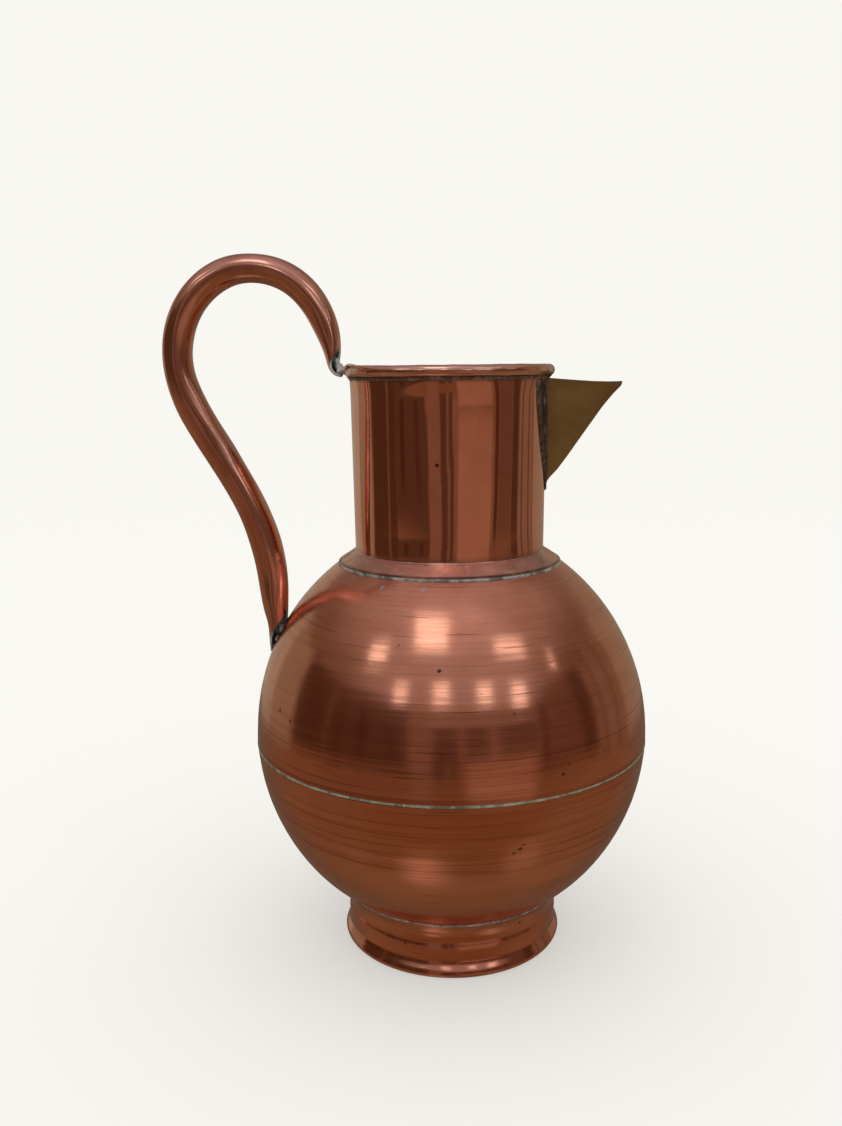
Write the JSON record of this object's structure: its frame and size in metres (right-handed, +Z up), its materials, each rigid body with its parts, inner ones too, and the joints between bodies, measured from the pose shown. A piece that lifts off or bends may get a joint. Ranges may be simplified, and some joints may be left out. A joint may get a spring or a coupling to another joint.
{
  "type": "water jug",
  "caption": "Round-bellied copper water jug with a straight neck, rolled rim, collar, flared foot ring, tall looped tube handle and a folded pointed brass spout.",
  "frame": {"origin": "centre of the foot ring, on the surface that the jug stands on", "axes": "+Z up along the jug's axis, +X towards the spout, -X towards the handle, Y across"},
  "size_m": [0.314, 0.2606, 0.4566],
  "materials": {
    "spun_copper": "spun copper with fine turning lines, worn and lightly tarnished",
    "neck_copper": "mirror-polished rolled copper sheet, slightly wavy",
    "collar_copper": "scratched satin copper",
    "rim_copper": "polished rolled copper edge",
    "handle_copper": "dark brown polished copper",
    "foot_copper": "polished copper with turning lines",
    "wire_copper": "drawn copper wire inside a rolled edge",
    "solder": "grey soft solder, partly bright",
    "brass_sheet": "dull olive-brown brass sheet"
  },
  "bodies": {
    "root": {"neck_tube": "neck_copper", "neck_seam_braze": "solder", "rim_bead": "rim_copper", "rim_wire": "wire_copper", "rim_solder": "solder", "neck_collar": "collar_copper", "neck_solder_seam": "solder", "collar_solder_seam": "solder", "upper_bowl": "spun_copper", "lower_bowl": "spun_copper", "belly_solder_seam": "solder", "foot_ring": "foot_copper", "foot_wire": "wire_copper", "foot_solder_seam": "solder", "handle_tube": "handle_copper", "handle_seam_braze": "solder", "handle_top_solder": "solder", "handle_lower_solder": "solder", "spout": "brass_sheet", "spout_solder": "solder"}
  },
  "joints": []
}
